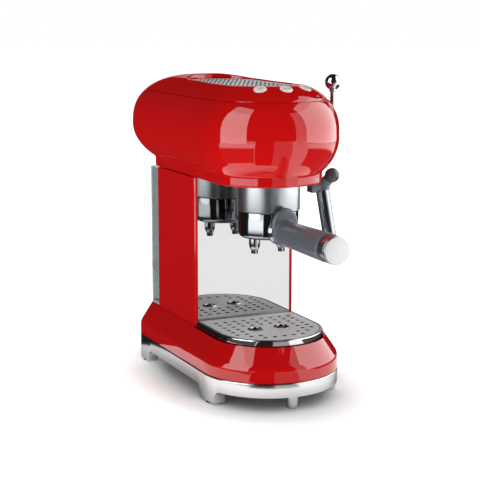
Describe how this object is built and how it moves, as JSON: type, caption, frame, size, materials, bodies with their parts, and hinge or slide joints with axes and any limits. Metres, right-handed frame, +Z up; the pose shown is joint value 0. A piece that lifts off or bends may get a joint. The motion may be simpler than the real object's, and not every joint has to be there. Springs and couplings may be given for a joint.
{
  "type": "espresso machine",
  "caption": "Compact espresso machine with a bulged glossy head over a mirror-backed cup bay, locking portafilter, drip tray, swinging steam wand, tip lever and slide-out rear water tank.",
  "frame": {"origin": "middle of the bounding box at the level of the worktop", "axes": "+Z up, -Y towards the user and the portafilter's handle, +X to the side with the steam wand"},
  "size_m": [0.1499, 0.3752, 0.3347],
  "materials": {
    "red_enamel": "gloss enamel",
    "chrome": "polished",
    "polished_steel": "mirror polished",
    "brushed_steel": "satin",
    "zinc_steel": "zinc plated",
    "grey_plastic": "satin",
    "white_plastic": "gloss",
    "black_plastic": "fine grain",
    "smoke_plastic": "clear tinted",
    "rubber": "matt",
    "cast_aluminium": "as cast",
    "brass": "machined",
    "circuit_board": "lacquered"
  },
  "bodies": {
    "machine": {"rear_base_shell": "red_enamel", "column_shell": "red_enamel", "head_shell": "red_enamel", "top_cover": "red_enamel", "base_frame": "chrome", "front_foot": "chrome", "backsplash": "polished_steel", "cup_warmer_grid": "brushed_steel", "group_head": "brushed_steel", "shower_screen": "brushed_steel", "shower_screw": "brushed_steel", "base_plate": "zinc_steel", "chassis_frame": "zinc_steel", "chassis_screws": "zinc_steel", "head_plate": "zinc_steel", "group_bolts": "zinc_steel", "pump_bracket": "zinc_steel", "steam_pipe": "zinc_steel", "pressure_pipe": "zinc_steel", "wand_socket": "grey_plastic", "pump": "black_plastic", "switch_frame": "black_plastic", "button_switches": "black_plastic", "cord_gland": "black_plastic", "tank_socket": "black_plastic", "board_standoffs": "black_plastic", "foot_pads": "rubber", "group_gasket": "rubber", "tank_hose": "rubber", "thermoblock": "cast_aluminium", "steam_valve": "brass", "thermostats": "brass", "control_board": "circuit_board"},
    "drip_tray": {"tray_front_shell": "red_enamel", "tray_rim": "chrome", "tray_basin": "black_plastic"},
    "drain_grid": {"tray_grid": "brushed_steel"},
    "tank": {"water_tank": "smoke_plastic"},
    "portafilter": {"portafilter_body": "chrome", "filter_basket": "brushed_steel", "spouts": "chrome", "handle_collar": "chrome", "handle_grip": "grey_plastic", "handle_cap": "chrome"},
    "lever": {"lever_arm": "chrome", "lever_ball": "chrome"},
    "wand": {"wand_swivel": "grey_plastic", "wand_sleeve": "chrome", "wand_pipe": "brushed_steel"},
    "one_cup_key": {"one_cup_button": "white_plastic"},
    "two_cup_key": {"two_cup_button": "white_plastic"},
    "steam_key": {"steam_button": "white_plastic"},
    "rocker": {"power_rocker": "black_plastic"}
  },
  "joints": [
    {"name": "tray_draw", "type": "slide", "parent": "machine", "child": "drip_tray", "axis": [0, -1, 0], "range_m": [0, 0.125]},
    {"name": "grid_lift", "type": "slide", "parent": "drip_tray", "child": "drain_grid", "axis": [0, 0, 1], "range_m": [0, 0.04]},
    {"name": "tank_draw", "type": "slide", "parent": "machine", "child": "tank", "axis": [0, 1, 0], "range_m": [0, 0.11]},
    {"name": "portafilter_turn", "type": "hinge", "parent": "machine", "child": "portafilter", "pos_m": [0, -0.04, 0.2], "axis": [0, 0, 1], "range_deg": [-45, 0]},
    {"name": "lever_tip", "type": "hinge", "parent": "machine", "child": "lever", "pos_m": [0.062, -0.06244, 0.282], "axis": [1, 0, 0], "range_deg": [0, 80]},
    {"name": "wand_swing", "type": "hinge", "parent": "machine", "child": "wand", "pos_m": [0.0534, -0.042, 0.2173], "axis": [1, 0, 0], "range_deg": [-20, 20]},
    {"name": "one_cup_press", "type": "slide", "parent": "machine", "child": "one_cup_key", "axis": [0.2161, 0.3132, -0.9248], "range_m": [0, 0.002], "stiffness_N_per_m": 400},
    {"name": "two_cup_press", "type": "slide", "parent": "machine", "child": "two_cup_key", "axis": [0, 0.3805, -0.9248], "range_m": [0, 0.002], "stiffness_N_per_m": 400},
    {"name": "steam_press", "type": "slide", "parent": "machine", "child": "steam_key", "axis": [-0.2161, 0.3132, -0.9248], "range_m": [0, 0.002], "stiffness_N_per_m": 400},
    {"name": "rocker_tip", "type": "hinge", "parent": "machine", "child": "rocker", "pos_m": [0.04, 0.15, 0.047], "axis": [1, 0, 0], "range_deg": [-7, 7]}
  ]
}
